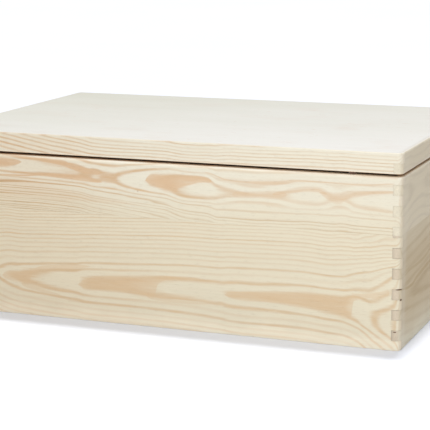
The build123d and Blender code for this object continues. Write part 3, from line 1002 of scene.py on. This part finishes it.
# Plywood
PLY_BROAD = (320.0, 90.0, 90.0)
PLY_BROAD_SHARE = 0.5
PLY_BROAD_SHOWN = (-0.7, 0.7)
PLY_PAINTED_SHADE = (-900.0, 620.0)  # mm along X and Y over which the painted shade, a warmer and darker tone, grows by 1
PLY_STREAK = (90.0, 2.2, 2.0)
PLY_FIBRE = (12.0, 0.5, 0.5)
PLY_FLECK = (9.0, 6.0, 6.0)
PLY_FLECK_SHOWN = (0.5, 0.68)
PLY_FLECK_SHARE = 0.35
PLY_CLOUD = (75.0, 48.0, 48.0)
PLY_CLOUD_SHOWN = (0.0, 0.7)
PLY_CLOUD_SHARE = 0.3
PLY_PEEL = (280.0, 60.0, 300.0)
PLY_PEELS = 5.0  # lines of the peeled veneer to one wave
PLY_PEEL_STREAK = 0.12
PLY_PEEL_LATE = (0.35, 0.9)  # share of the way to the next line over which the tan comes in
PLY_PEEL_SHARE = 0.4
PLY_INSIDE = (2.0, 1.5)  # mm under the top over which the peeled veneer ends
PLY_EDGE = (0.3, 0.6)  # how far a face is turned up or down
PLY_PAIR = 3.3  # height of two plies, mm
PLY_DARK = (0.3, 0.36)  # share of two plies, from their middle, where the dark ply begins


def plywood():
    """Pale sanded plywood: broad flat figure on the faces, with painted shade that makes them darker and
    warmer towards the back left, three plies on the edges.
    """
    material, tree, shader = new_material("plywood")
    place = x, y, z = surface_place(tree)
    along_x, along_y = PLY_PAINTED_SHADE
    streak = speckle(place, PLY_STREAK, detail=3.0)
    # Painted shade: the broad tone turns darker and warmer towards the back left
    fields = {
        "Broad": speckle(place, PLY_BROAD, detail=3.0) * PLY_BROAD_SHARE + x / along_x + y / along_y,
        "Streak": streak,
        "Fibre": speckle(place, PLY_FIBRE),
    }
    colour = blend(fields["Broad"].rise(*PLY_BROAD_SHOWN, "LINEAR"), PLY_PALE, PLY_WARM_AND_SHADE)
    cloud = speckle(place, PLY_CLOUD, detail=3.0, shift=3.0).rise(*PLY_CLOUD_SHOWN)
    colour = blend(cloud * PLY_CLOUD_SHARE, colour, PLY_PINK)
    fleck = speckle(place, PLY_FLECK, detail=0.0, shift=40.0).rise(*PLY_FLECK_SHOWN)
    colour = blend(fleck * PLY_FLECK_SHARE, colour, PLY_PINK)
    peeled = speckle(place, PLY_PEEL, shift=7.0) * PLY_PEELS + streak * PLY_PEEL_STREAK
    peeled = peeled.math("FRACT")
    tan = peeled.rise(*PLY_PEEL_LATE) * peeled.fall(PLY_PEEL_LATE[1], 1.0)
    inside = z.fall(*(TOP - below for below in PLY_INSIDE))
    colour = blend(tan * inside * PLY_PEEL_SHARE, colour, PLY_PINK)
    edge = surface_facing(tree)[2].size().fall(*PLY_EDGE)
    ply = ((z / PLY_PAIR).math("FRACT") - 0.5).size().rise(*PLY_DARK)
    colour = blend(edge * ply, colour, PLY_CORE)
    colour = brighten(colour, weighted(fields, base=1.0, Streak=0.05, Fibre=0.04))
    roughness = weighted(fields, base=0.6, Streak=0.05, Broad=0.03)
    relief = weighted(fields, base=0.5, Streak=0.3, Fibre=0.3)
    coat(shader, colour, roughness, relief, depth=0.00015, soft_edge=0.0004)
    shader.inputs["Specular IOR Level"].default_value = WOOD_SPECULAR
    return material


# Fittings
ZINC_PATCHES = (6.0, 6.0, 6.0)
ZINC_PATCH_SHOWN = (-0.5, 0.5)
ZINC_LINE = 9.0  # length of the rolling lines, mm
SCRATCH_LENGTH = 7.0  # mm
SCRATCH_WIDTH = 0.25
SCRATCH_SHOWN = (0.5, 0.7)


def make_zinc_group():
    """Passivated zinc: fine rolling lines, dull patches and small scratches."""
    tree, given, result = new_group("zinc_plate", ["X", "Y", "Z", "Grain"], ["Patch", "Line", "Scratch"])
    place = x, y, z = [given[label] for label in ("X", "Y", "Z")]
    grain = given["Grain"]
    plug(speckle(place, ZINC_PATCHES, detail=4.0), result["Patch"])
    plug(speckle(place, (ZINC_LINE, grain, grain), detail=3.0), result["Line"])
    slanting = speckle((x + y, y - x, z), (SCRATCH_LENGTH, SCRATCH_WIDTH, SCRATCH_WIDTH), detail=0.0)
    plug(slanting.rise(*SCRATCH_SHOWN), result["Scratch"])
    return tree


ZINC = make_zinc_group()


def zinc(name, bright, dull, roughness, grain):
    """Zinc-plated steel. grain is the width of its rolling lines in millimetres."""
    material, tree, shader = new_material(name)
    x, y, z = surface_place(tree)
    plate = use_group(tree, ZINC, X=x, Y=y, Z=z, Grain=grain)
    colour = blend(plate["Patch"].rise(*ZINC_PATCH_SHOWN), bright, dull)
    colour = brighten(colour, weighted(plate, base=1.0, Line=0.05))
    roughness = weighted(plate, base=roughness, Patch=0.08, Line=0.05, Scratch=-0.08)
    relief = weighted(plate, base=0.5, Line=0.3, Scratch=-0.4)
    coat(shader, colour, roughness, relief, depth=0.00004, soft_edge=0.0002)
    shader.inputs["Metallic"].default_value = 1.0
    return material


NYLON_CLOUD = (5.0, 5.0, 5.0)
NYLON_GRAIN = (0.3, 0.3, 0.3)
FELT_CLOUD = (1.5, 1.5, 1.5)
FELT_HAIR = (0.5, 0.12, 0.3)
FELT_HAIR_SHOWN = (0.1, 0.6)
FELT_HAIR_SHARE = 0.5
FELT_SHEEN = 0.4
CLOUD_SHOWN = (-0.5, 0.5)


def nylon():
    """Moulded washers, off white, with a fine matt grain."""
    material, tree, shader = new_material("nylon")
    place = surface_place(tree)
    cloud = speckle(place, NYLON_CLOUD).rise(*CLOUD_SHOWN)
    fields = {"Grain": speckle(place, NYLON_GRAIN, detail=1.0)}
    roughness = weighted(fields, base=0.45, Grain=0.06)
    relief = weighted(fields, base=0.5, Grain=0.5)
    coat(shader, blend(cloud, NYLON_PALE, NYLON_DULL), roughness, relief, depth=0.00003, soft_edge=0.0002)
    return material


def felt():
    """Pressed felt, dark brown with lighter fibres."""
    material, tree, shader = new_material("felt")
    place = surface_place(tree)
    fields = {"Cloud": speckle(place, FELT_CLOUD, detail=3.0), "Hair": speckle(place, FELT_HAIR, detail=3.0)}
    colour = blend(fields["Cloud"].rise(*CLOUD_SHOWN), FELT_DARK, FELT_BROWN)
    colour = blend(fields["Hair"].rise(*FELT_HAIR_SHOWN) * FELT_HAIR_SHARE, colour, FELT_LIGHT)
    roughness = weighted(fields, base=0.92, Hair=0.05)
    relief = weighted(fields, base=0.5, Hair=0.4, Cloud=0.3)
    coat(shader, colour, roughness, relief, depth=0.0002, soft_edge=0.0002)
    shader.inputs["Sheen Weight"].default_value = FELT_SHEEN
    return material


def dress(material, *nodes):
    """Gives CAD nodes their finish."""
    for name in nodes:
        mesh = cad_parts[name].data
        mesh.materials.clear()
        mesh.materials.append(material)


def finish_wood():
    """Each glued-up wall has its own two boards. A lid rail is sawn from the upper one."""
    walls = {
        "front": ("X", FRONT_LOWER, FRONT_UPPER),
        "back": ("X", BACK_LOWER, BACK_UPPER),
        "left": ("Y", LEFT_LOWER, LEFT_UPPER),
        "right": ("Y", RIGHT_LOWER, RIGHT_UPPER),
    }
    for wall, (fibres, lower, upper) in walls.items():
        dress(pine(f"pine_{wall}_lower", lower, fibres), f"{wall}_lower_board")
        dress(pine(f"pine_{wall}_upper", upper, fibres), f"{wall}_upper_board", f"lid_{wall}_rail")
    dress(plywood(), "bottom_panel", "lid_top_panel")


def finish_fittings():
    """Hinges, stays, screws, brads and washers."""
    hinge_steel = zinc("hinge_steel", paint(214, 208, 190), paint(190, 182, 160), roughness=0.34, grain=0.5)
    stay_steel = zinc("stay_steel", paint(208, 209, 208), paint(182, 183, 182), roughness=0.38, grain=0.4)
    screw_steel = zinc("screw_steel", paint(206, 206, 202), paint(172, 172, 168), roughness=0.3, grain=0.3)
    for side in ("left", "right"):
        dress(hinge_steel, f"{side}_hinge_box_leaf", f"{side}_hinge_lid_leaf", f"{side}_hinge_pin")
        dress(stay_steel, f"{side}_stay_arm")
    dress(screw_steel, "bottom_brads", "hinge_box_screws", "hinge_lid_screws")
    dress(screw_steel, "stay_guide_screws", "stay_pivot_screws")
    dress(nylon(), "stay_guide_washers", "stay_pivot_washers")


# Felt pads
PAD_COUNT = 2
PAD_SIDES = 40
PAD_LAYERS = 6
PAD_RINGS = 4
PAD_BULGE = 0.00012  # by how much the side swells past the upper and lower edge, metres
PAD_LUMPS = 900.0  # to the metre
HAIRS_PER_AREA = 2.6e6  # on a square metre of felt
HAIR_LENGTH = 0.00045
HAIR_RADIUS = 0.000018
HAIR_SIDES = 3
HAIR_LEAN = 0.9  # radians, at most, away from standing upright
SCATTER_SEED = 4
LEAN_SEED = 9


def make_pad_tree(material):
    """Geometry nodes for a row of round felt pads with short loose hairs on their sides."""
    tree = bpy.data.node_groups.new("felt_pads", "GeometryNodeTree")
    for label in ("Radius", "Thickness", "Apart", "Hair Length"):
        tree.interface.new_socket(label, in_out="INPUT", socket_type="NodeSocketFloat")
    tree.interface.new_socket("Middle", in_out="INPUT", socket_type="NodeSocketVector")
    tree.interface.new_socket("Geometry", in_out="OUTPUT", socket_type="NodeSocketGeometry")
    given = tree.nodes.new("NodeGroupInput").outputs
    result = tree.nodes.new("NodeGroupOutput").inputs

    def add(kind, **inputs):
        node = tree.nodes.new(kind)
        for label, value in inputs.items():
            plug(value, node.inputs[label.replace("_", " ")])
        return node

    def combine(operation, first, second):
        node = add("ShaderNodeVectorMath")
        node.operation = operation
        plug(first, node.inputs[0])
        plug(second, node.inputs[1])
        return node.outputs[0]

    disc = add(
        "GeometryNodeMeshCylinder",
        Radius=given["Radius"],
        Depth=given["Thickness"],
        Vertices=PAD_SIDES,
        Side_Segments=PAD_LAYERS,
        Fill_Segments=PAD_RINGS,
    ).outputs
    lumps = add("ShaderNodeTexNoise", Scale=PAD_LUMPS, Detail=2.0).outputs["Color"]
    centred = combine("SUBTRACT", lumps, (0.5, 0.5, 0.5))
    swelling = combine("MULTIPLY", centred, (2 * PAD_BULGE, 2 * PAD_BULGE, 0.0))
    lumpy = add("GeometryNodeSetPosition", Geometry=disc["Mesh"], Offset=swelling)

    scatter = add(
        "GeometryNodeDistributePointsOnFaces",
        Mesh=disc["Mesh"],
        Selection=disc["Side"],
        Density=HAIRS_PER_AREA,
        Seed=SCATTER_SEED,
    ).outputs
    hair = add(
        "GeometryNodeMeshCone",
        Vertices=HAIR_SIDES,
        Radius_Bottom=HAIR_RADIUS,
        Radius_Top=0.0,
        Depth=given["Hair Length"],
    )
    lean = add("FunctionNodeRandomValue", Seed=LEAN_SEED)
    lean.data_type = "FLOAT_VECTOR"
    lean.inputs[0].default_value = (-HAIR_LEAN, -HAIR_LEAN, -pi)
    lean.inputs[1].default_value = (HAIR_LEAN, HAIR_LEAN, pi)
    turn = add("FunctionNodeRotateRotation", Rotation=scatter["Rotation"], Rotate_By=lean.outputs[0])
    turn.rotation_space = "LOCAL"
    hairs = add(
        "GeometryNodeInstanceOnPoints",
        Points=scatter["Points"],
        Instance=hair.outputs["Mesh"],
        Rotation=turn.outputs[0],
    )

    pad = add("GeometryNodeJoinGeometry")
    for piece in (lumpy.outputs["Geometry"], hairs.outputs["Instances"]):
        tree.links.new(piece, pad.inputs["Geometry"])
    step = add("ShaderNodeCombineXYZ", X=given["Apart"]).outputs[0]
    to_first = combine("MULTIPLY", step, (-0.5, -0.5, -0.5))
    first = combine("ADD", to_first, given["Middle"])
    row = add("GeometryNodeMeshLine", Count=PAD_COUNT, Offset=step, Start_Location=first)
    pads = add("GeometryNodeInstanceOnPoints", Points=row.outputs["Mesh"], Instance=pad.outputs["Geometry"])
    real = add("GeometryNodeRealizeInstances", Geometry=pads.outputs["Instances"])
    coloured = add("GeometryNodeSetMaterial", Geometry=real.outputs["Geometry"], Material=material)
    plug(coloured.outputs["Geometry"], result["Geometry"])
    return tree


def felt_pads():
    """The two pads on the front rim, in place of their plain solids."""
    low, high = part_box("lid_rest_pads")
    radius = (high.y - low.y) / 2
    values = {
        "Radius": radius - PAD_BULGE,
        "Thickness": high.z - low.z,
        "Apart": high.x - low.x - 2 * radius,
        "Hair Length": HAIR_LENGTH,
        "Middle": (low + high) / 2,
    }
    piece = bpy.data.objects.new("felt_rest_pads", bpy.data.meshes.new("felt_rest_pads"))
    bpy.context.scene.collection.objects.link(piece)
    tree = make_pad_tree(felt())
    modifier = piece.modifiers.new("felt_pads", "NODES")
    modifier.node_group = tree
    for socket in tree.interface.items_tree:
        if socket.in_out == "INPUT":
            modifier[socket.identifier] = values[socket.name]
    made = piece.evaluated_get(bpy.context.evaluated_depsgraph_get())
    piece.data = bpy.data.meshes.new_from_object(made)
    piece.modifiers.clear()
    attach(piece, "box")
    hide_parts("lid_rest_pads")


FLOOR_RADIUS = 14.0
FLOOR_SIDES = 64
FLOOR_CLOUD = (900.0, 900.0, 1.0)
FLOOR_CLOUD_SHOWN = (-0.6, 0.6)
FLOOR_ROUGHNESS = 0.9
FLOOR_SPECULAR = 0.1


def floor():
    """A plain white studio floor."""
    material, tree, shader = new_material("white_floor")
    cloud = speckle(surface_place(tree), FLOOR_CLOUD).rise(*FLOOR_CLOUD_SHOWN)
    plug(blend(cloud, FLOOR_WHITE, FLOOR_SHADE), shader.inputs["Base Color"])
    shader.inputs["Roughness"].default_value = FLOOR_ROUGHNESS
    shader.inputs["Specular IOR Level"].default_value = FLOOR_SPECULAR
    angles = [2 * pi * step / FLOOR_SIDES for step in range(FLOOR_SIDES)]
    rim = [(FLOOR_RADIUS * cos(angle), FLOOR_RADIUS * sin(angle), 0) for angle in angles]
    mesh = bpy.data.meshes.new("floor")
    mesh.from_pydata(rim, [], [list(range(FLOOR_SIDES))])
    mesh.materials.append(material)
    piece = bpy.data.objects.new("floor", mesh)
    bpy.context.scene.collection.objects.link(piece)


def lamp(name, kind, strength, source, place=(0.0, 0.0, 0.0)):
    """A lamp at a place that shines from a direction."""
    data = bpy.data.lights.new(name, kind)
    data.energy = strength
    piece = bpy.data.objects.new(name, data)
    piece.location = place
    piece.rotation_mode = "QUATERNION"
    piece.rotation_quaternion = Vector(source).to_track_quat("Z", "Y")
    bpy.context.scene.collection.objects.link(piece)
    return data


def studio():
    """Even white room light, an overhead lamp and a softbox."""
    scene = bpy.context.scene
    world = bpy.data.worlds.new("white_room")
    world.use_nodes = True
    background = world.node_tree.nodes["Background"]
    background.inputs["Color"].default_value = (1.0, 1.0, 1.0, 1.0)
    background.inputs["Strength"].default_value = ROOM_LIGHT
    scene.world = world
    overhead = lamp("overhead", "SUN", OVERHEAD_LIGHT, OVERHEAD_FROM)
    overhead.angle = radians(OVERHEAD_ANGLE)
    towards_box = Vector(SOFTBOX_PLACE) - Vector(SOFTBOX_AIM)
    softbox = lamp("softbox", "AREA", SOFTBOX_POWER, towards_box, SOFTBOX_PLACE)
    softbox.shape = "RECTANGLE"
    softbox.size, softbox.size_y = SOFTBOX_SIZE
    bpy.data.objects["softbox"].visible_camera = False
    scene.view_settings.view_transform = "Standard"


def camera():
    """The camera of the photograph."""
    yaw, pitch, roll = (radians(angle) for angle in (CAMERA_YAW, CAMERA_PITCH, CAMERA_ROLL))
    forward = Vector((sin(yaw) * cos(pitch), cos(yaw) * cos(pitch), -sin(pitch)))
    level = Vector((cos(yaw), -sin(yaw), 0))
    up = level.cross(forward)
    right = cos(roll) * level + sin(roll) * up
    top = cos(roll) * up - sin(roll) * level
    data = bpy.data.cameras.new("camera")
    data.lens = CAMERA_LENS
    data.sensor_width = CAMERA_SENSOR
    piece = bpy.data.objects.new("camera", data)
    turned = Matrix((right, top, -forward)).transposed()
    piece.matrix_world = Matrix.Translation(CAMERA_PLACE) @ turned.to_4x4()
    bpy.context.scene.collection.objects.link(piece)
    bpy.context.scene.camera = piece


camera()
studio()
floor()
finish_wood()
finish_fittings()
felt_pads()
